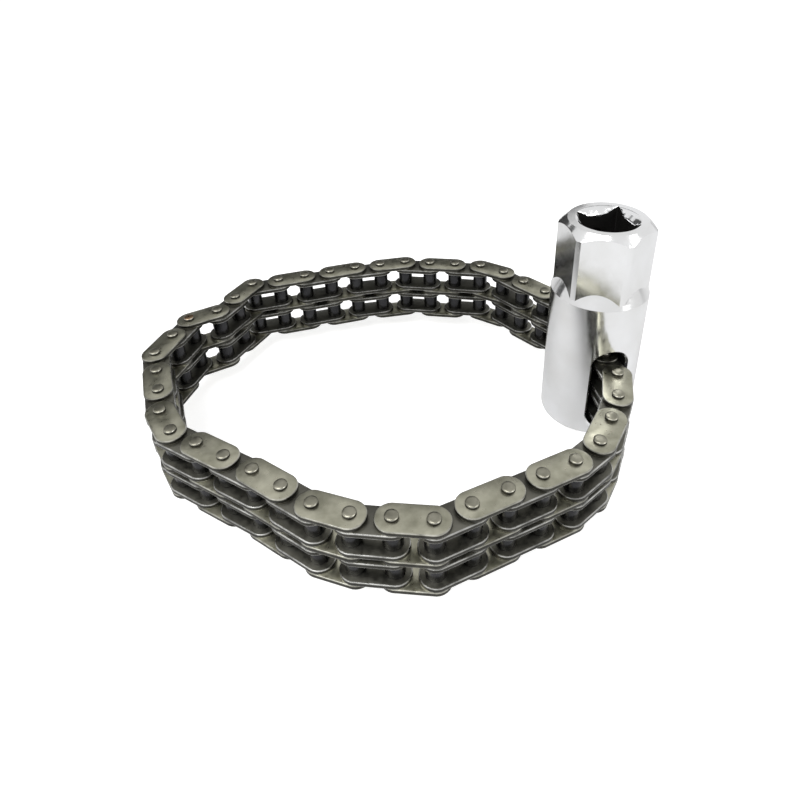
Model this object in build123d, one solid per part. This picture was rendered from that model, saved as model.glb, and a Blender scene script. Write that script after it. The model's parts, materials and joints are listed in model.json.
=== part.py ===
from build123d import *
import math
import os

os.makedirs("parts", exist_ok=True)

# Duplex roller chain, 3/8 inch pitch, in millimetres
PITCH = 9.525
LINK_PAIRS = 21
PLATE_HEIGHT = 8.26
OUTER_PLATE = 1.4
INNER_PLATE = 1.4
MIDDLE_PLATE = 1.5
INNER_WIDTH = 5.73
ROLLER_DIA = 6.35
ROLLER_LENGTH = INNER_WIDTH - 0.12
BUSH_DIA = 4.4
PIN_DIA = 3.28
PIN_FIT = 0.03
BUSH_BORE = PIN_DIA + 2 * PIN_FIT
ROLLER_BORE = BUSH_DIA + 0.1
ROLLER_BREAK = 0.25
PLATE_BREAK = 0.22
SIDE_PLAY = 0.1
PIN_END = 1.05
PIN_HEAD_DIA = PIN_DIA + 0.1
PIN_DOME = 0.4

# Closing link: its loose pin has a free fit in the bushes and a dished head
CLOSING_LINK = 12
CLOSING_PIN_INDEX = 2 * (CLOSING_LINK - 1)
OPEN_CLEARANCE = 0.2
CLOSING_PIN_DIA = BUSH_BORE - 2 * OPEN_CLEARANCE
DISH_DEPTH = 0.45

# Stack heights of one half of the chain, from its middle plane
inner_low = MIDDLE_PLATE / 2 + SIDE_PLAY
inner_high = inner_low + 2 * INNER_PLATE + INNER_WIDTH
outer_low = inner_high + SIDE_PLAY / 2
outer_high = outer_low + OUTER_PLATE
pin_half = outer_high + PIN_END
roller_middle = inner_low + INNER_PLATE + INNER_WIDTH / 2

# Socket
BODY_DIA = 28.0
BODY_HEIGHT = 45.4
TOTAL_HEIGHT = 67.3
FOOT_ROUND = 1.4
SHOULDER_SLOPE = 63.0
HEX_FLATS = 24.0
HEX_TURNED_DIA = 26.8
HEX_TURN = 4.0
HEAD_ROOT = 5.0
CONE_OVERRUN = 1.0
TOP_RADIUS = 11.0
DRIVE_SQUARE = 12.8
DRIVE_DEPTH = 17.0
PILOT_DEPTH = 20.5
DRILL_POINT = 118.0
SINK_DIA = 17.8
SINK_ANGLE = 90.0
DETENT_DIA = 5.0
DETENT_DEPTH = 1.2
DETENT_LEVEL = 8.5

# Window for the chain
WINDOW_PLAY = 0.9
WINDOW_BRIDGE = 2.3
WINDOW_HEIGHT = 28.6
WINDOW_BREAK = 0.7
window_width = PLATE_HEIGHT + 2 * WINDOW_PLAY
window_middle = WINDOW_BRIDGE + WINDOW_HEIGHT / 2
CHAIN_DROP = 0.2
chain_level = window_middle - CHAIN_DROP

# The loop in link pitches: the pin next to the front mouth, then the corners of a guide round
# to the rear mouth. The chain lies loosely, so the guide is a polygon with uneven corners.
FRONT_PIN = -1.91
SLOT_LINKS = 3
STRETCH_LIMITS = (0.9, 1.1)
HALVINGS = 40
GUIDE = [
    (-0.39, -2.86), (-0.94, -3.69), (-1.58, -4.46), (-2.43, -4.98), (-6.26, -6.16),
    (-8.19, -5.66), (-9.08, -5.21), (-10.59, -3.89), (-12.96, -2.07), (-13.42, -1.18),
    (-14.16, 1.72), (-13.37, 3.56), (-12.44, 3.92), (-11.35, 5.59), (-7.38, 6.09),
    (-5.38, 6.15), (-3.47, 5.57), (-2.55, 5.30), (-1.80, 4.68), (-1.25, 3.80),
    (-0.08, 2.08),
]

# Coordinates closer than this are the same
NEAR = 0.01


def guide_points(stretch):
    """Corners of the guide from the front pin to the rear pin, stretched sideways."""
    start = (0, FRONT_PIN)
    end = (0, FRONT_PIN + SLOT_LINKS)
    return [Vector(x * stretch * PITCH, y * PITCH) for x, y in [start, *GUIDE, end]]


def walk(points, count):
    """Place count pins one pitch apart along the points, and go on along the last stretch."""
    here = points[0]
    pins = [here]
    i = 0
    ahead = points + [points[-1] + (points[-1] - points[-2]).normalized() * SLOT_LINKS * PITCH]
    while len(pins) < count:
        while i + 1 < len(ahead) and (ahead[i + 1] - here).length < PITCH:
            i += 1
        low, high = 0.0, 1.0
        for _ in range(HALVINGS):
            mid = (low + high) / 2
            if (ahead[i] + (ahead[i + 1] - ahead[i]) * mid - here).length < PITCH:
                low = mid
            else:
                high = mid
        here = ahead[i] + (ahead[i + 1] - ahead[i]) * low
        pins.append(here)
    return pins


def loop_pins():
    """Centres of all pins: the sideways stretch is solved so that the loop closes."""
    loose = 2 * LINK_PAIRS - SLOT_LINKS
    low, high = STRETCH_LIMITS
    for _ in range(HALVINGS):
        stretch = (low + high) / 2
        pins = walk(guide_points(stretch), loose + 1)
        if pins[-1].Y > (FRONT_PIN + SLOT_LINKS) * PITCH:
            high = stretch
        else:
            low = stretch
    inside = [Vector(0, (FRONT_PIN + n) * PITCH) for n in range(SLOT_LINKS, 0, -1)]
    return pins[:loose] + inside


def plate(low, thickness, bores, edge_break=0):
    """One straight-sided link plate on the X axis, its first eye at the origin."""
    with BuildSketch() as outline:
        with Locations((PITCH / 2, 0)):
            SlotCenterToCenter(PITCH, PLATE_HEIGHT)
        for x, bore in zip((0, PITCH), bores):
            with Locations((x, 0)):
                Circle(bore / 2, mode=Mode.SUBTRACT)
    body = extrude(outline.sketch, thickness)
    if edge_break:
        rims = [face.outer_wire().edges() for face in body.faces().filter_by(Axis.Z)]
        body = chamfer([edge for rim in rims for edge in rim], edge_break)
    return Pos(0, 0, low) * body


def tube(dia, bore, middle, length, edge_break=0):
    """A tube on the Z axis, with its outer edges broken if asked."""
    ring = extrude(Circle(dia / 2) - Circle(bore / 2), length / 2, both=True)
    if edge_break:
        rims = ring.edges().filter_by(GeomType.CIRCLE).group_by(SortBy.RADIUS)[-1]
        ring = chamfer(rims, edge_break)
    return Pos(0, 0, middle) * ring


def rivet_pin(dia, dished=False):
    """A pin with a low spread head at both ends; a dished one is sunk in its top face."""
    head = PIN_HEAD_DIA / 2
    flat = head - PIN_DOME
    half = [(0, 0), (dia / 2, 0), (dia / 2, outer_high), (head, outer_high)]
    half += [(head, pin_half - PIN_DOME), (flat, pin_half), (0, pin_half)]
    section = make_face(Polyline(*half, close=True))
    upper = revolve(Plane.XZ * section, Axis.Z)
    pin = upper + mirror(upper, Plane.XY)
    if dished:
        pin -= Pos(0, 0, pin_half) * Cone(flat / 2, flat, 2 * DISH_DEPTH)
    return pin


def placed(shape, first, second):
    """Turn a part modelled along X so that it runs from one pin to the next."""
    heading = math.degrees(math.atan2(second.Y - first.Y, second.X - first.X))
    return Pos(first.X, first.Y, chain_level) * Rot(0, 0, heading) * shape


def outer_link(first_dia):
    """Two outer plates and the middle plate, with the fixed pins that are pressed into them."""
    bores = (first_dia, PIN_DIA)
    plates = [
        plate(outer_low, OUTER_PLATE, bores, PLATE_BREAK),
        plate(-outer_high, OUTER_PLATE, bores, PLATE_BREAK),
        plate(-MIDDLE_PLATE / 2, MIDDLE_PLATE, bores),
    ]
    pins = [Pos(PITCH, 0, 0) * rivet_pin(PIN_DIA)]
    if first_dia == PIN_DIA:
        pins.append(rivet_pin(PIN_DIA))
    return plates + pins


def inner_link():
    """Four inner plates, and four bushes with their rollers."""
    pieces = []
    for side in (-1, 1):
        middle = side * roller_middle
        for edge in (-1, 1):
            level = middle + edge * (INNER_WIDTH + INNER_PLATE) / 2 - INNER_PLATE / 2
            pieces.append(plate(level, INNER_PLATE, (BUSH_DIA, BUSH_DIA)))
        bush_length = INNER_WIDTH + 2 * INNER_PLATE
        for x in (0, PITCH):
            bush = tube(BUSH_DIA, BUSH_BORE, middle, bush_length)
            roller = tube(ROLLER_DIA, ROLLER_BORE, middle, ROLLER_LENGTH, ROLLER_BREAK)
            pieces += [Pos(x, 0, 0) * bush, Pos(x, 0, 0) * roller]
    return pieces


def is_mouth(edge):
    """Whether an edge runs along the rim of the window, on the body's round side."""
    box = edge.bounding_box()
    middle = edge.position_at(0.5)
    on_side = abs(math.hypot(middle.X, middle.Y) - BODY_DIA / 2) < NEAR
    in_width = abs(middle.X) < window_width / 2 + NEAR
    in_height = WINDOW_BRIDGE - NEAR < box.min.Z < WINDOW_BRIDGE + WINDOW_HEIGHT
    return on_side and in_width and in_height


def socket():
    """Turned body with a hexagon head, a drive square from above and the chain's window."""
    r = BODY_DIA / 2
    turned = HEX_TURNED_DIA / 2
    neck = HEX_FLATS / 2 - CONE_OVERRUN
    root = BODY_HEIGHT - HEAD_ROOT
    cone_top = BODY_HEIGHT + (r - neck) * math.tan(math.radians(SHOULDER_SLOPE))
    body_side = [(0, 0), (r, 0), (r, BODY_HEIGHT), (neck, cone_top), (0, cone_top)]
    body = revolve(Plane.XZ * make_face(Polyline(*body_side, close=True)), Axis.Z)
    body = fillet(body.edges().group_by(Axis.Z)[0], FOOT_ROUND)
    head_side = [
        (0, root), (turned, root),
        (turned, TOTAL_HEIGHT - turned + TOP_RADIUS), (TOP_RADIUS, TOTAL_HEIGHT), (0, TOTAL_HEIGHT),
    ]
    head = revolve(Plane.XZ * make_face(Polyline(*head_side, close=True)), Axis.Z)
    hexagon = RegularPolygon(HEX_FLATS / 2, 6, major_radius=False, rotation=30 + HEX_TURN)
    head &= extrude(hexagon, TOTAL_HEIGHT)
    body += head

    square = Rot(0, 0, HEX_TURN) * Rectangle(DRIVE_SQUARE, DRIVE_SQUARE)
    body -= Pos(0, 0, TOTAL_HEIGHT - DRIVE_DEPTH) * extrude(square, DRIVE_DEPTH)
    pilot_depth = PILOT_DEPTH - DRIVE_DEPTH
    pilot = Pos(0, 0, TOTAL_HEIGHT - PILOT_DEPTH) * extrude(Circle(DRIVE_SQUARE / 2), pilot_depth)
    point = DRIVE_SQUARE / 2 / math.tan(math.radians(DRILL_POINT / 2))
    tip = Cone(0, DRIVE_SQUARE / 2, point)
    body -= pilot + Pos(0, 0, TOTAL_HEIGHT - PILOT_DEPTH - point / 2) * tip
    sink = SINK_DIA / 2 / math.tan(math.radians(SINK_ANGLE / 2))
    body -= Pos(0, 0, TOTAL_HEIGHT - sink / 2) * Cone(0, SINK_DIA / 2, sink)
    for n in range(2):
        dimples = Rot(0, 90, 0) * Cylinder(DETENT_DIA / 2, DRIVE_SQUARE + 2 * DETENT_DEPTH)
        body -= Pos(0, 0, TOTAL_HEIGHT - DETENT_LEVEL) * Rot(0, 0, HEX_TURN + 90 * n) * dimples

    window = SlotOverall(WINDOW_HEIGHT, window_width, rotation=90)
    body -= Pos(0, BODY_DIA, window_middle) * Rot(90, 0, 0) * extrude(window, 2 * BODY_DIA)
    mouths = [e for e in body.edges() if is_mouth(e)]
    return chamfer(mouths, WINDOW_BREAK)


pins = loop_pins()
plain = outer_link(PIN_DIA)
closing = outer_link(CLOSING_PIN_DIA)
inner = inner_link()
count = len(pins)
for n in range(LINK_PAIRS):
    a, b, c = pins[2 * n], pins[2 * n + 1], pins[(2 * n + 2) % count]
    pieces = closing if n + 1 == CLOSING_LINK else plain
    outer = Compound(children=[placed(piece, a, b) for piece in pieces])
    export_step(outer, f"parts/outer_link_{n + 1:02d}.step")
    roller_link = Compound(children=[placed(piece, b, c) for piece in inner])
    export_step(roller_link, f"parts/inner_link_{n + 1:02d}.step")

a, b = pins[CLOSING_PIN_INDEX], pins[CLOSING_PIN_INDEX + 1]
export_step(placed(rivet_pin(CLOSING_PIN_DIA, dished=True), a, b), "parts/closing_pin.step")
export_step(socket(), "parts/socket_body.step")
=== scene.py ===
"""Looks of a chain oil filter wrench: a chromed drive socket and its loop of duplex roller chain."""

import json
import logging
import math
from dataclasses import dataclass, field
from enum import Enum
from typing import Callable, Iterable

import bmesh
import bpy
from mathutils import Matrix, Vector

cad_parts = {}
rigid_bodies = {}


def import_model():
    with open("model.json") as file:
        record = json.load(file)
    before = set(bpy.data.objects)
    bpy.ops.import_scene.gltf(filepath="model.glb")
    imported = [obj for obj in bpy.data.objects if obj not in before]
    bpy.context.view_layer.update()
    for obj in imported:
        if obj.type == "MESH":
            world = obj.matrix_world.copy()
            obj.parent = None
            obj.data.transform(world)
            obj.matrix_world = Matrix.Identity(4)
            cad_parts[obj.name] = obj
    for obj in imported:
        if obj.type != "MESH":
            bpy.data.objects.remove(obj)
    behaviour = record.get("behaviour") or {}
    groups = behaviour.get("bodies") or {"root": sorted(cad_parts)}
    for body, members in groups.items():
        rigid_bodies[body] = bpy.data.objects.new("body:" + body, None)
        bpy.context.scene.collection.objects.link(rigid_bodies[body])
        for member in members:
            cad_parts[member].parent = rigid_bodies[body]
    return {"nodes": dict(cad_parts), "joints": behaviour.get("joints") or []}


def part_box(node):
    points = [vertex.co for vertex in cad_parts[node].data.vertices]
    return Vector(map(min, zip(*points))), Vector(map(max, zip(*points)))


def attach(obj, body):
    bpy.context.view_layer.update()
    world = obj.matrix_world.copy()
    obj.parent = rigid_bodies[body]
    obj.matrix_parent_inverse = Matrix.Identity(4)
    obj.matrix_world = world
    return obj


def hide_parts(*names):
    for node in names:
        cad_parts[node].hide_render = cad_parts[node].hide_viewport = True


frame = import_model()

MM = 0.001
LOG = logging.getLogger("chain_wrench")
Rgb = tuple[float, float, float]
Place = tuple[float, float, float]


class Slot(Enum):
    """The record's material slots."""

    CHROME = "chrome"
    OUTER = "outer_steel"
    INNER = "inner_steel"
    BRONZE = "bronzed_pin"


@dataclass(frozen=True)
class Finish:
    """A worn metal finish: two tones that noise mixes, and a roughness that a second noise moves.

    Args:
        name: the material's name.
        tone: colour of the clean metal.
        worn: colour that the blotches run to.
        rough: lowest and highest roughness.
        blotch: noise cells per metre of the tone.
        grain: noise cells per metre of the roughness and the bump.
        bump: height of the grain in metres.
        metallic: how metallic the surface is.
        stretch: how the noise is scaled along each axis.
        specular: level of the mirror-like light on what isn't metal.
        clean_to: noise value up to which the metal is clean.
        worn_from: noise value from which it is fully worn.
        grain_span: noise values of the lowest and the highest roughness.
        grain_depth: how much of the bump shows.
        octaves: octaves of the tone's noise and of the grain's.
    """

    name: str
    tone: Rgb
    worn: Rgb
    rough: tuple[float, float]
    blotch: float = 120.0
    grain: float = 900.0
    bump: float = 0.00002
    metallic: float = 1.0
    stretch: tuple[float, float, float] = (1.0, 1.0, 1.0)
    specular: float = 0.5
    clean_to: float = 0.35
    worn_from: float = 0.72
    grain_span: tuple[float, float] = (0.3, 0.7)
    grain_depth: float = 0.6
    octaves: tuple[float, float] = (6.0, 8.0)

    def material(self) -> bpy.types.Material:
        """Build the finish once and return it.

        Returns:
            The material.
        """
        found = bpy.data.materials.get(self.name)
        if found:
            return found
        made = bpy.data.materials.new(self.name)
        made.use_nodes = True
        nodes, links = made.node_tree.nodes, made.node_tree.links
        shader = nodes["Principled BSDF"]
        shader.inputs["Metallic"].default_value = self.metallic
        shader.inputs["Specular IOR Level"].default_value = self.specular
        place = nodes.new("ShaderNodeTexCoord")
        lay = nodes.new("ShaderNodeMapping")
        lay.inputs["Scale"].default_value = self.stretch
        links.new(place.outputs["Object"], lay.inputs["Vector"])
        blotches = self._noise(nodes, self.blotch, self.octaves[0])
        grain = self._noise(nodes, self.grain, self.octaves[1])
        for noise in (blotches, grain):
            links.new(lay.outputs["Vector"], noise.inputs["Vector"])
        ramp = nodes.new("ShaderNodeValToRGB")
        clean, worn = ramp.color_ramp.elements
        clean.position = self.clean_to
        clean.color = (*self.tone, 1.0)
        worn.position = self.worn_from
        worn.color = (*self.worn, 1.0)
        links.new(blotches.outputs["Fac"], ramp.inputs["Fac"])
        links.new(ramp.outputs["Color"], shader.inputs["Base Color"])
        spread = nodes.new("ShaderNodeMapRange")
        spread.inputs["From Min"].default_value = self.grain_span[0]
        spread.inputs["From Max"].default_value = self.grain_span[1]
        spread.inputs["To Min"].default_value = self.rough[0]
        spread.inputs["To Max"].default_value = self.rough[1]
        links.new(grain.outputs["Fac"], spread.inputs["Value"])
        links.new(spread.outputs["Result"], shader.inputs["Roughness"])
        bump = nodes.new("ShaderNodeBump")
        bump.inputs["Strength"].default_value = self.grain_depth
        bump.inputs["Distance"].default_value = self.bump
        links.new(grain.outputs["Fac"], bump.inputs["Height"])
        links.new(bump.outputs["Normal"], shader.inputs["Normal"])
        return made

    @staticmethod
    def _noise(nodes: bpy.types.Nodes, scale: float, detail: float) -> bpy.types.Node:
        """Add a noise texture.

        Args:
            nodes: the material's nodes.
            scale: cells per metre.
            detail: octaves.

        Returns:
            The noise node.
        """
        noise = nodes.new("ShaderNodeTexNoise")
        noise.inputs["Scale"].default_value = scale
        noise.inputs["Detail"].default_value = detail
        return noise


CHROME_PLATE = Finish("chrome_plate", (0.80, 0.805, 0.815), (0.69, 0.69, 0.685), (0.11, 0.2),
                      blotch=70.0, grain=500.0, bump=0.000004)
# Near-black walls of the drive square, its bore and the chain's window: painted shade for the dark
# openings.
OPENING_PAINTED_SHADE = Finish("opening_painted_shade", (0.007, 0.0065, 0.006), (0.003, 0.003, 0.003), (0.5, 0.7),
                   metallic=0.0, specular=0.12)
OUTER_SATIN = Finish("outer_satin", (0.43, 0.42, 0.335), (0.24, 0.235, 0.18), (0.26, 0.4),
                     blotch=230.0)
# Near-black upright sides of the plates and of the pin heads: painted shade, the dark plate outlines
# and the dark crescent under each head.
SIDE_PAINTED_SHADE = Finish("side_painted_shade", (0.06, 0.058, 0.05), (0.03, 0.029, 0.025), (0.35, 0.5), blotch=300.0)
# Outer plate rims lighter than the faces: painted highlight along the plate edges, with random darker
# blotches.
OUTER_RIM_PAINTED_HIGHLIGHT = Finish("outer_rim_painted_highlight", (0.46, 0.455, 0.40), (0.15, 0.148, 0.125), (0.25, 0.4), blotch=300.0)
INNER_DARK = Finish("inner_dark", (0.145, 0.142, 0.12), (0.095, 0.093, 0.08), (0.32, 0.48))
# Inner plate rims far lighter than the inner faces: painted highlight along the plate edges, with
# random darker blotches.
INNER_RIM_PAINTED_HIGHLIGHT = Finish("inner_rim_painted_highlight", (0.50, 0.50, 0.48), (0.16, 0.16, 0.15), (0.22, 0.36), blotch=300.0)
ROLLER_DARK = Finish("roller_dark", (0.052, 0.052, 0.055), (0.030, 0.030, 0.032), (0.2, 0.32),
                     grain=500.0, stretch=(1.0, 1.0, 0.3))
PIN_STEEL = Finish("pin_steel", (0.30, 0.29, 0.235), (0.17, 0.165, 0.13), (0.28, 0.42), blotch=400.0)
# Pin-head edges lighter than the head tops: painted highlight round the sloping edge of each head.
PIN_RIM_PAINTED_HIGHLIGHT = Finish("pin_rim_painted_highlight", (0.46, 0.45, 0.40), (0.20, 0.195, 0.165), (0.2, 0.34), blotch=500.0)
PIN_BRONZE = Finish("pin_bronze", (0.30, 0.21, 0.13), (0.16, 0.11, 0.07), (0.25, 0.4), blotch=400.0)


class Bench:
    """Mesh tools that every sub-assembly uses."""

    LEVEL_RISE = 1e-7
    FACING_UP = 0.9
    FACING_SIDEWAYS = 0.1

    @staticmethod
    def clear() -> None:
        """Deselect everything."""
        bpy.ops.object.select_all(action="DESELECT")

    @classmethod
    def cylinder(cls, name: str, radius: float, low: float, high: float, sides: int,
                 axis_x: float = 0.0) -> bpy.types.Object:
        """Add an upright cylinder whose axis crosses the X axis.

        Args:
            name: the object's name.
            radius: its radius.
            low: level of its underside.
            high: level of its top.
            sides: number of side faces, none of whose corners lies on the X or Y axis.
            axis_x: where its axis crosses it.

        Returns:
            The new object.
        """
        cls.clear()
        bpy.ops.mesh.primitive_cylinder_add(
            vertices=sides, radius=radius, depth=high - low,
            location=(axis_x, 0.0, (low + high) / 2), rotation=(0.0, 0.0, math.pi / sides))
        made = bpy.context.object
        made.name = name
        bpy.ops.object.transform_apply(location=True, rotation=True, scale=True)
        return made

    @staticmethod
    def edit(thing: bpy.types.Object, mode: str = "FACE") -> None:
        """Go into edit mode with nothing selected.

        Args:
            thing: the object to edit.
            mode: what is selected, VERT, EDGE or FACE.
        """
        bpy.context.view_layer.objects.active = thing
        thing.select_set(True)
        bpy.ops.object.mode_set(mode="EDIT")
        bpy.ops.mesh.select_mode(type=mode)
        bpy.ops.mesh.select_all(action="DESELECT")

    @staticmethod
    def pick(thing: bpy.types.Object, kind: str, test: Callable[..., bool]) -> None:
        """Select the elements of the edited mesh that pass a test.

        Args:
            thing: the object in edit mode.
            kind: verts, edges or faces.
            test: says whether an element is wanted.
        """
        mesh = bmesh.from_edit_mesh(thing.data)
        for element in getattr(mesh, kind):
            element.select_set(test(element))
        mesh.select_flush_mode()
        bmesh.update_edit_mesh(thing.data)

    @staticmethod
    def leave() -> None:
        """Go back to object mode."""
        bpy.ops.object.mode_set(mode="OBJECT")

    @classmethod
    def round_rims(cls, thing: bpy.types.Object, width: float, segments: int) -> None:
        """Bevel the level rims of an upright piece.

        Args:
            thing: the piece.
            width: the bevel's width.
            segments: the bevel's faces from edge to edge.
        """
        cls.edit(thing, "EDGE")
        cls.pick(thing, "edges", lambda e: len(e.link_faces) == 2
                 and abs(e.verts[0].co.z - e.verts[1].co.z) < cls.LEVEL_RISE
                 and max(abs(f.normal.z) for f in e.link_faces) > cls.FACING_UP
                 and min(abs(f.normal.z) for f in e.link_faces) < cls.FACING_SIDEWAYS)
        bpy.ops.mesh.bevel(offset=width, segments=segments, affect="EDGES")
        cls.leave()

    @classmethod
    def smooth(cls, thing: bpy.types.Object, degrees: float = 35.0) -> None:
        """Shade smooth up to an angle.

        Args:
            thing: the piece.
            degrees: the sharpest angle that is still smooth.
        """
        cls.clear()
        thing.select_set(True)
        bpy.context.view_layer.objects.active = thing
        bpy.ops.object.shade_smooth_by_angle(angle=math.radians(degrees))

    @staticmethod
    def dress(thing: bpy.types.Object, finishes: tuple[Finish, Finish, Finish],
              rises: tuple[float, float]) -> None:
        """Give the level, the sloping and the upright faces of a piece a finish each; on the chain
        this paints a highlight on the sloping rims and shade on the upright sides.

        Args:
            thing: the piece.
            finishes: of its level, its sloping and its upright faces.
            rises: how much a normal points up or down, at least, on a level and on a sloping face.
        """
        for finish in finishes:
            thing.data.materials.append(finish.material())
        for polygon in thing.data.polygons:
            rise = abs(polygon.normal.z)
            polygon.material_index = 0 if rise > rises[0] else 1 if rise > rises[1] else 2

    @classmethod
    def placed(cls, pattern: bpy.types.Object, name: str, place: Matrix) -> bpy.types.Object:
        """Copy a finished pattern to its place, with the place in the mesh.

        Args:
            pattern: what is copied.
            name: the copy's name.
            place: where the copy goes.

        Returns:
            The copy.
        """
        cls.clear()
        pattern.select_set(True)
        bpy.context.view_layer.objects.active = pattern
        bpy.ops.object.duplicate()
        copy = bpy.context.object
        copy.name = name
        copy.matrix_world = place
        bpy.ops.object.transform_apply(location=True, rotation=True, scale=True)
        return copy

    @classmethod
    def joined(cls, name: str, parts: Iterable[bpy.types.Object]) -> bpy.types.Object:
        """Join parts into one object, or name the only part.

        Args:
            name: the joined object's name.
            parts: what is joined.

        Returns:
            The joined object.
        """
        cls.clear()
        parts = list(parts)
        if len(parts) > 1:
            for part in parts:
                part.select_set(True)
            bpy.context.view_layer.objects.active = parts[0]
            bpy.ops.object.join()
        parts[0].name = name
        return parts[0]

    @staticmethod
    def discard(things: Iterable[bpy.types.Object]) -> None:
        """Delete patterns that are no longer needed.

        Args:
            things: the patterns.
        """
        for thing in things:
            bpy.data.objects.remove(thing, do_unlink=True)


@dataclass
class ChainPatterns:
    """One of each chain piece, its first eye at the origin and its middle plane at the given level."""

    level: float
    pitch: float = 9.525 * MM
    plate_height: float = 8.16 * MM
    plate: float = 1.4 * MM
    middle_plate: float = 1.5 * MM
    inner_low: float = 0.85 * MM
    inner_width: float = 5.73 * MM
    outer_low: float = 9.43 * MM
    roller_radius: float = 2.54 * MM
    roller_length: float = 5.61 * MM
    bush_radius: float = 2.2 * MM
    pin_radius: float = 1.64 * MM
    head_radius: float = 1.69 * MM
    head_height: float = 1.05 * MM
    head_dome: float = 0.4 * MM
    dome_steps: tuple[tuple[float, float], ...] = ((0.95, 0.45), (0.87, 0.3), (0.7, 0.15), (0.4, 0.1))
    dish_share: float = 0.85
    dish_depth: float = 0.5 * MM
    plate_rim: float = 0.26 * MM
    roller_rim: float = 0.3 * MM
    bush_rim: float = 0.1 * MM
    plate_sides: int = 28
    round_sides: int = 24
    bush_sides: int = 16
    plate_rises: tuple[float, float] = (0.95, 0.1)
    pin_rises: tuple[float, float] = (0.75, 0.2)
    made: dict[str, bpy.types.Object] = field(default_factory=dict)

    def build(self) -> None:
        """Model every pattern."""
        outer_high = self.outer_low + self.plate
        upper = self.inner_low + self.plate + self.inner_width
        self.made["outer_plates"] = Bench.joined("outer_plates_pattern", [
            self._plate("upper_outer", self.outer_low, self.plate, OUTER_SATIN, OUTER_RIM_PAINTED_HIGHLIGHT),
            self._plate("lower_outer", -outer_high, self.plate, OUTER_SATIN, OUTER_RIM_PAINTED_HIGHLIGHT),
            self._plate("middle", -self.middle_plate / 2, self.middle_plate, OUTER_SATIN, OUTER_RIM_PAINTED_HIGHLIGHT),
        ])
        self.made["inner_plates"] = Bench.joined("inner_plates_pattern", [
            self._plate(f"inner_{n}", low, self.plate, INNER_DARK, INNER_RIM_PAINTED_HIGHLIGHT)
            for n, low in enumerate((self.inner_low, upper, -self.inner_low - self.plate,
                                     -upper - self.plate))
        ])
        rollers = [self._roller(x, side) for x in (0.0, self.pitch) for side in (-1, 1)]
        self.made["rollers"] = Bench.joined("rollers_pattern", rollers)
        bushes = [self._bush(x, side) for x in (0.0, self.pitch) for side in (-1, 1)]
        self.made["bushes"] = Bench.joined("bushes_pattern", bushes)
        for name, finish, dished in (("pin", PIN_STEEL, False), ("closing_pin", PIN_BRONZE, True)):
            self.made[name] = self._pin(name, finish, dished)
        for pattern in self.made.values():
            Bench.smooth(pattern)

    def _plate(self, name: str, low: float, thick: float, face: Finish,
               rim: Finish) -> bpy.types.Object:
        """A link plate: a short cylinder pulled out to a straight-sided oval.

        Args:
            name: the plate's name.
            low: level of its underside from the middle plane.
            thick: its thickness.
            face: finish of its faces.
            rim: finish of its bevelled rims, lighter than the faces as a painted highlight.

        Returns:
            The plate.
        """
        low += self.level
        plate = Bench.cylinder(name, self.plate_height / 2, low, low + thick, self.plate_sides)
        Bench.edit(plate, "VERT")
        Bench.pick(plate, "verts", lambda v: v.co.x > 0)
        bpy.ops.transform.translate(value=(self.pitch, 0.0, 0.0))
        bpy.ops.mesh.select_all(action="SELECT")
        full_height = 1 / math.cos(math.pi / self.plate_sides)
        bpy.ops.transform.resize(value=(1.0, full_height, 1.0), center_override=(0.0, 0.0, 0.0))
        Bench.leave()
        Bench.round_rims(plate, self.plate_rim, 2)
        # The rims get a lighter finish as painted highlight and the upright sides a near-black one as
        # painted shade.
        Bench.dress(plate, (face, rim, SIDE_PAINTED_SHADE), self.plate_rises)
        return plate

    def _stack(self, side: int) -> float:
        """Level of the middle of the upper or lower row of rollers."""
        return self.level + side * (self.inner_low + self.plate + self.inner_width / 2)

    def _roller(self, x: float, side: int) -> bpy.types.Object:
        """A roller with broken edges.

        Args:
            x: which eye it is on.
            side: 1 in the upper row, -1 in the lower one.

        Returns:
            The roller.
        """
        middle = self._stack(side)
        half = self.roller_length / 2
        roller = Bench.cylinder("roller", self.roller_radius, middle - half, middle + half,
                                self.round_sides, x)
        Bench.round_rims(roller, self.roller_rim, 2)
        roller.data.materials.append(ROLLER_DARK.material())
        return roller

    def _bush(self, x: float, side: int) -> bpy.types.Object:
        """A bush that shows between a roller and its plates.

        Args:
            x: which eye it is on.
            side: 1 in the upper row, -1 in the lower one.

        Returns:
            The bush.
        """
        middle = self._stack(side)
        half = self.inner_width / 2 + self.plate
        bush = Bench.cylinder("bush", self.bush_radius, middle - half, middle + half,
                              self.bush_sides, x)
        Bench.round_rims(bush, self.bush_rim, 1)
        bush.data.materials.append(INNER_DARK.material())
        return bush

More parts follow.
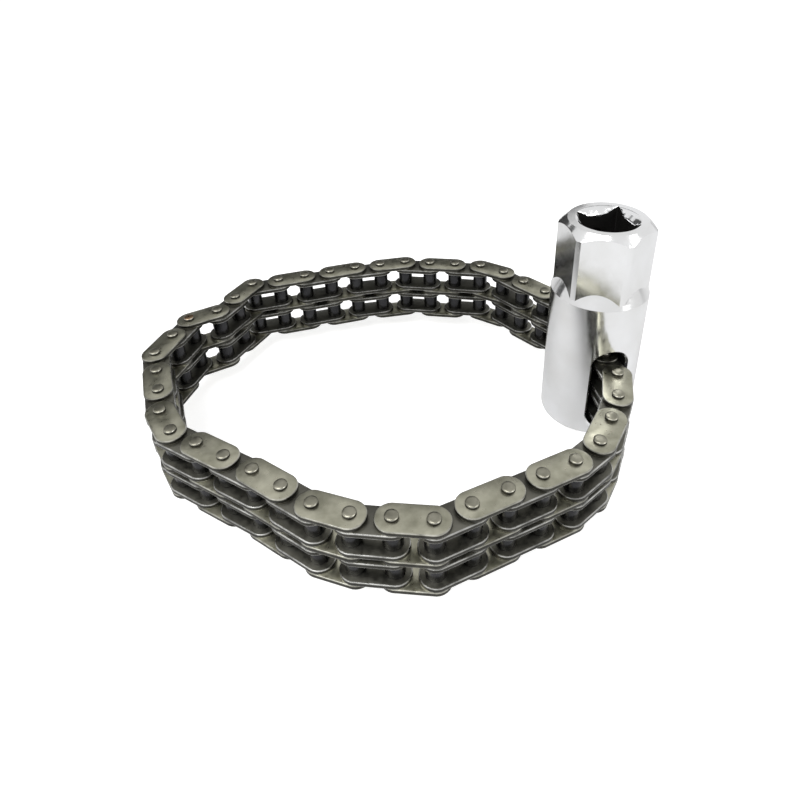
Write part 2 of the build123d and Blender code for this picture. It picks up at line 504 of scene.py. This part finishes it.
    def _pin(self, name: str, finish: Finish, dished: bool) -> bpy.types.Object:
        """A pin with a low spread head at both ends.

        Args:
            name: the pin's name.
            finish: its metal.
            dished: whether its upper head is sunk in.

        Returns:
            The pin.
        """
        reach = self.outer_low + self.plate
        pin = Bench.cylinder(name, self.pin_radius, self.level - reach, self.level + reach,
                             self.round_sides)
        spread = self.head_radius / self.pin_radius
        for side in (-1, 1):
            end = self.level + side * reach
            centre = (0.0, 0.0, end)
            Bench.edit(pin)
            Bench.pick(pin, "faces", lambda f: f.normal.z * side > Bench.FACING_UP)
            bpy.ops.mesh.extrude_region_move()
            bpy.ops.transform.resize(value=(spread, spread, 1.0), center_override=centre)
            rise = side * (self.head_height - self.head_dome)
            bpy.ops.mesh.extrude_region_move(TRANSFORM_OT_translate={"value": (0.0, 0.0, rise)})
            for share, lift in self.dome_steps:
                step = side * self.head_dome * lift
                bpy.ops.mesh.extrude_region_move(TRANSFORM_OT_translate={"value": (0.0, 0.0, step)})
                bpy.ops.transform.resize(value=(share, share, 1.0), center_override=centre)
            if dished and side > 0:
                bpy.ops.mesh.extrude_region_move()
                bpy.ops.transform.resize(value=(self.dish_share, self.dish_share, 1.0),
                                         center_override=centre)
                sink = (0.0, 0.0, -self.dish_depth)
                bpy.ops.mesh.extrude_region_move(TRANSFORM_OT_translate={"value": sink})
            Bench.leave()
        # The sloping edge of each head gets a lighter finish as painted highlight and its upright side
        # a near-black one as painted shade.
        Bench.dress(pin, (finish, PIN_RIM_PAINTED_HIGHLIGHT, SIDE_PAINTED_SHADE), self.pin_rises)
        return pin


@dataclass
class Chain:
    """The duplex roller chain, one set of pieces for every link of the frame."""

    patterns: ChainPatterns
    links: int = 21
    closing_body: str = "outer_link_12"

    def build(self) -> None:
        """Copy the patterns to every link and ride them on its body."""
        pivots = self._pivots()
        for n in range(1, self.links + 1):
            for kind in ("outer", "inner"):
                node = f"{kind}_link_{n:02d}"
                self._dress(node, kind, *pivots[node])
        self._closing_pin(pivots["closing_pin"][0])
        Bench.discard(self.patterns.made.values())

    def _pivots(self) -> dict[str, list[Vector]]:
        """Find the two pivots of every link from the frame's hinges and its open pivot.

        Returns:
            For each node its two pivots, in the order they follow each other round the loop.
        """
        closing = closing_centre()
        found: dict[str, list[Vector]] = {"closing_pin": [closing]}
        for joint in frame["joints"]:
            if joint["type"] != "hinge":
                continue
            for body in (joint["parent"], joint["child"]):
                found.setdefault(body, []).append(Vector(joint["pos_m"]))
        for body, places in found.items():
            if body != "closing_pin" and len(places) == 1:
                places.append(closing)
        return found

    def _dress(self, node: str, kind: str, first: Vector, second: Vector) -> None:
        """Put the pieces of one link in place.

        Args:
            node: the link's node and body.
            kind: outer or inner.
            first: one of its pivots.
            second: the other one.
        """
        run = second - first
        turn = Matrix.Rotation(math.atan2(run.y, run.x), 4, "Z")
        place = Matrix.Translation((first.x, first.y, 0.0)) @ turn
        if kind == "outer":
            pieces = {"plates": ["outer_plates"]}
        else:
            pieces = {"plates": ["inner_plates"], "rollers": ["rollers", "bushes"]}
        slot = Slot.OUTER if kind == "outer" else Slot.INNER
        for label, names in pieces.items():
            copies = [Bench.placed(self.patterns.made[name], name, place) for name in names]
            self._settle(Bench.joined(f"{node}_{label}", copies), node, node, slot)
        if kind == "outer":
            self._pins(node, first, second)

    def _pins(self, node: str, first: Vector, second: Vector) -> None:
        """Put the pressed-in pins of an outer link in place, but not the closing pin.

        Args:
            node: the link's node and body.
            first: one of its pivots.
            second: the other one.
        """
        closing = closing_centre()
        copies = [
            Bench.placed(self.patterns.made["pin"], "pin", Matrix.Translation((p.x, p.y, 0.0)))
            for p in (first, second) if (p.xy - closing.xy).length > MM
        ]
        self._settle(Bench.joined(f"{node}_pins", copies), node, node, Slot.OUTER)

    def _closing_pin(self, centre: Vector) -> None:
        """Put the closing pin in place.

        Args:
            centre: the middle of the pin.
        """
        place = Matrix.Translation((centre.x, centre.y, 0.0))
        pin = Bench.placed(self.patterns.made["closing_pin"], "closing_pin_dished", place)
        self._settle(pin, "closing_pin", self.closing_body, Slot.BRONZE)

    @staticmethod
    def _settle(piece: bpy.types.Object, node: str, body: str, slot: Slot) -> None:
        """Tie a piece to the frame.

        Args:
            piece: the finished piece.
            node: the CAD node that it stands for.
            body: the body that it rides on.
            slot: the record's slot of its finish; not used.
        """
        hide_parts(node)
        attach(piece, body)
        LOG.info("%s on %s", piece.name, body)


@dataclass
class Socket:
    """The chromed socket: a copy of its solid with softened edges and near-black walls in its
    openings, as painted shade.
    """

    weld: float = 0.001 * MM
    flat: float = 0.3
    crease: float = 20.0
    smooth_to: float = 50.0
    edge_round: float = 0.13 * MM
    drive_reach: float = 9.3 * MM
    drive_low: float = 44.0 * MM
    square_low: float = 50.4 * MM
    window_width: float = 10.06 * MM
    window_low: float = 2.3 * MM
    window_height: float = 28.6 * MM
    wall_rise: float = 0.5
    touch: float = 0.02 * MM

    def build(self) -> None:
        """Copy the solid's mesh, soften it, plate it, paint the walls of its openings near-black as
        shade and ride it on its body.
        """
        solid = frame["nodes"]["socket_body"]
        copy = bpy.data.objects.new("socket_chromed", solid.data.copy())
        bpy.context.scene.collection.objects.link(copy)
        Bench.clear()
        Bench.edit(copy, "VERT")
        bpy.ops.mesh.select_all(action="SELECT")
        bpy.ops.mesh.remove_doubles(threshold=self.weld)
        bpy.ops.mesh.dissolve_limited(angle_limit=math.radians(self.flat))
        bpy.ops.mesh.select_mode(type="EDGE")
        Bench.pick(copy, "edges", self._is_crease)
        bpy.ops.mesh.bevel(offset=self.edge_round, segments=2, affect="EDGES", clamp_overlap=True)
        Bench.leave()
        Bench.smooth(copy, self.smooth_to)
        weigh = copy.modifiers.new("weigh", "WEIGHTED_NORMAL")
        weigh.keep_sharp = True
        bpy.ops.object.modifier_apply(modifier=weigh.name)
        copy.data.materials.clear()
        copy.data.materials.append(CHROME_PLATE.material())
        copy.data.materials.append(OPENING_PAINTED_SHADE.material())
        # Walls of the drive square, its bore and the window are painted near-black as shade.
        for polygon in copy.data.polygons:
            spots = [copy.data.vertices[i].co for i in polygon.vertices]
            painted_shade = self._in_drive(polygon) or all(self._on_window(spot) for spot in spots)
            polygon.material_index = int(painted_shade)
        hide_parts("socket_body")
        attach(copy, "socket")
        LOG.info("socket on its body")

    def _is_crease(self, edge: bmesh.types.BMEdge) -> bool:
        """Say whether an edge outside the drive hole is sharp.

        Args:
            edge: an edge of the merged mesh.

        Returns:
            Whether it is softened.
        """
        outside = all(math.hypot(v.co.x, v.co.y) > self.drive_reach for v in edge.verts)
        sharp = len(edge.link_faces) == 2 and edge.calc_face_angle() > math.radians(self.crease)
        return outside and sharp

    def _in_drive(self, polygon: bpy.types.MeshPolygon) -> bool:
        """Say whether a face is a wall of the drive square or of the bore under it.

        Args:
            polygon: a face of the socket.

        Returns:
            Whether it gets the near-black painted shade.
        """
        place = polygon.center
        inside = math.hypot(place.x, place.y) < self.drive_reach and place.z > self.drive_low
        return inside and (abs(polygon.normal.z) < self.wall_rise or place.z < self.square_low)

    def _on_window(self, spot: Vector) -> bool:
        """Say whether a point lies on the wall of the chain's window.

        Args:
            spot: the point.

        Returns:
            Whether it does.
        """
        half = self.window_width / 2
        low = self.window_low + half
        high = self.window_low + self.window_height - half
        nearest = min(max(spot.z, low), high)
        return abs(math.hypot(spot.x, spot.z - nearest) - half) < self.touch


@dataclass(frozen=True)
class Softbox:
    """A square area lamp that looks at the object.

    Args:
        name: the lamp's name.
        place: where it hangs.
        size: its side.
        power: its power in watts.
        target: where it looks.
    """

    name: str
    place: Place
    size: float
    power: float
    target: Place = (-0.06, 0.0, 0.02)

    def build(self) -> None:
        """Add the lamp."""
        light = bpy.data.lights.new(self.name, "AREA")
        light.size = self.size
        light.energy = self.power
        lamp = bpy.data.objects.new(self.name, light)
        lamp.location = self.place
        look = Vector(self.target) - lamp.location
        lamp.rotation_euler = look.to_track_quat("-Z", "Y").to_euler()
        bpy.context.scene.collection.objects.link(lamp)


@dataclass(frozen=True)
class DarkCard:
    """An upright dark card that only reflections show.

    Args:
        name: the card's name.
        place: its middle.
        size: its width and height.
        tone: its colour.
    """

    name: str
    place: Place
    size: tuple[float, float]
    tone: Rgb = (0.01, 0.01, 0.01)

    def build(self) -> None:
        """Add the card as part of the stage."""
        Bench.clear()
        bpy.ops.mesh.primitive_plane_add(size=1.0, location=self.place,
                                         rotation=(math.pi / 2, 0.0, 0.0))
        card = bpy.context.object
        card.name = self.name
        card.scale = (*self.size, 1.0)
        bpy.ops.object.transform_apply(location=True, rotation=True, scale=True)
        card.visible_camera = False
        card.visible_diffuse = False
        card.visible_shadow = False
        made = bpy.data.materials.new("card_felt")
        made.use_nodes = True
        felt = made.node_tree.nodes["Principled BSDF"]
        felt.inputs["Base Color"].default_value = (*self.tone, 1.0)
        card.data.materials.append(made)


@dataclass
class Studio:
    """Floor, lamps, dark cards and the photograph's camera."""

    eye: Place = (-72.69 * MM, -150.89 * MM, 144.3 * MM)
    yaw: float = 6.0
    pitch: float = 30.10
    roll: float = 2.742
    focal_px: float = 633.33
    centre_px: tuple[float, float] = (406.21, 272.97)
    frame_px: float = 800.0
    sensor: float = 36.0
    near_clip: float = 0.005
    floor_size: float = 4.0
    floor_drop: float = 0.0001
    paper: float = 0.78
    paper_glow: float = 0.58
    white: float = 1.0
    mirrored_white: float = 0.95
    ambient: float = 0.62
    softboxes: tuple[Softbox, ...] = (
        Softbox("key_softbox", (-0.45, -0.35, 0.75), 0.6, 6.5),
        Softbox("fill_softbox", (0.6, -0.5, 0.5), 0.5, 3.0),
    )
    cards: tuple[DarkCard, ...] = (
        DarkCard("dark_card_left", (-0.29, 0.20, 0.175), (0.26, 0.25)),
        DarkCard("dark_card_rear", (-0.04, 0.20, 0.10), (0.24, 0.13)),
    )

    def build(self) -> None:
        """Set up the whole studio."""
        self._floor()
        self._world()
        for softbox in self.softboxes:
            softbox.build()
        for card in self.cards:
            card.build()
        self._camera()
        bpy.context.scene.view_settings.view_transform = "Standard"

    def _floor(self) -> None:
        """A pale floor that keeps the shadow and shows white to the camera."""
        Bench.clear()
        bpy.ops.mesh.primitive_plane_add(size=self.floor_size, location=(0.0, 0.0, -self.floor_drop))
        floor = bpy.context.object
        floor.name = "floor"
        made = bpy.data.materials.new("floor_paper")
        made.use_nodes = True
        nodes, links = made.node_tree.nodes, made.node_tree.links
        nodes.clear()
        paper = nodes.new("ShaderNodeBsdfDiffuse")
        paper.inputs["Color"].default_value = (self.paper, self.paper, self.paper, 1.0)
        glow = nodes.new("ShaderNodeEmission")
        path = nodes.new("ShaderNodeLightPath")
        share = nodes.new("ShaderNodeMath")
        share.operation = "MULTIPLY"
        share.inputs[1].default_value = self.paper_glow
        add = nodes.new("ShaderNodeAddShader")
        out = nodes.new("ShaderNodeOutputMaterial")
        links.new(path.outputs["Is Camera Ray"], share.inputs[0])
        links.new(share.outputs[0], glow.inputs["Strength"])
        links.new(paper.outputs[0], add.inputs[0])
        links.new(glow.outputs[0], add.inputs[1])
        links.new(add.outputs[0], out.inputs["Surface"])
        floor.data.materials.append(made)

    def _world(self) -> None:
        """White to the camera, a little softer to metal and as light."""
        world = bpy.data.worlds.new("studio_world")
        bpy.context.scene.world = world
        world.use_nodes = True
        nodes, links = world.node_tree.nodes, world.node_tree.links
        back = nodes["Background"]
        back.inputs["Color"].default_value = (1.0, 1.0, 1.0, 1.0)
        path = nodes.new("ShaderNodeLightPath")
        gloss = nodes.new("ShaderNodeMapRange")
        gloss.inputs["To Min"].default_value = self.ambient
        gloss.inputs["To Max"].default_value = self.mirrored_white
        level = nodes.new("ShaderNodeMapRange")
        level.inputs["To Max"].default_value = self.white
        links.new(path.outputs["Is Glossy Ray"], gloss.inputs["Value"])
        links.new(gloss.outputs["Result"], level.inputs["To Min"])
        links.new(path.outputs["Is Camera Ray"], level.inputs["Value"])
        links.new(level.outputs["Result"], back.inputs["Strength"])

    def _camera(self) -> None:
        """The photograph's camera, from its solved place, angles and frame."""
        yaw, pitch, roll = (math.radians(a) for a in (self.yaw, self.pitch, self.roll))
        ahead = Vector((math.sin(yaw) * math.cos(pitch), math.cos(yaw) * math.cos(pitch),
                        -math.sin(pitch)))
        level = Vector((math.cos(yaw), -math.sin(yaw), 0.0))
        down = ahead.cross(level)
        right = math.cos(roll) * level + math.sin(roll) * down
        below = -math.sin(roll) * level + math.cos(roll) * down
        data = bpy.data.cameras.new("photo_camera")
        data.sensor_width = self.sensor
        data.lens = self.focal_px / self.frame_px * self.sensor
        half = self.frame_px / 2
        data.shift_x = (half - self.centre_px[0]) / self.frame_px
        data.shift_y = (self.centre_px[1] - half) / self.frame_px
        data.clip_start = self.near_clip
        camera = bpy.data.objects.new("photo_camera", data)
        axes = Matrix((right, -below, -ahead)).transposed().to_4x4()
        camera.matrix_world = Matrix.Translation(self.eye) @ axes
        bpy.context.scene.collection.objects.link(camera)
        bpy.context.scene.camera = camera


def closing_centre() -> Vector:
    """The middle of the closing pin's solid."""
    low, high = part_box("closing_pin")
    return (low + high) / 2


def main() -> None:
    """Build the studio, the socket and the chain."""
    logging.basicConfig(level=logging.INFO, format="%(message)s")
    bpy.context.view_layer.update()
    patterns = ChainPatterns(level=closing_centre().z)
    patterns.build()
    Chain(patterns).build()
    Socket().build()
    Studio().build()


if __name__ == "__main__":
    main()
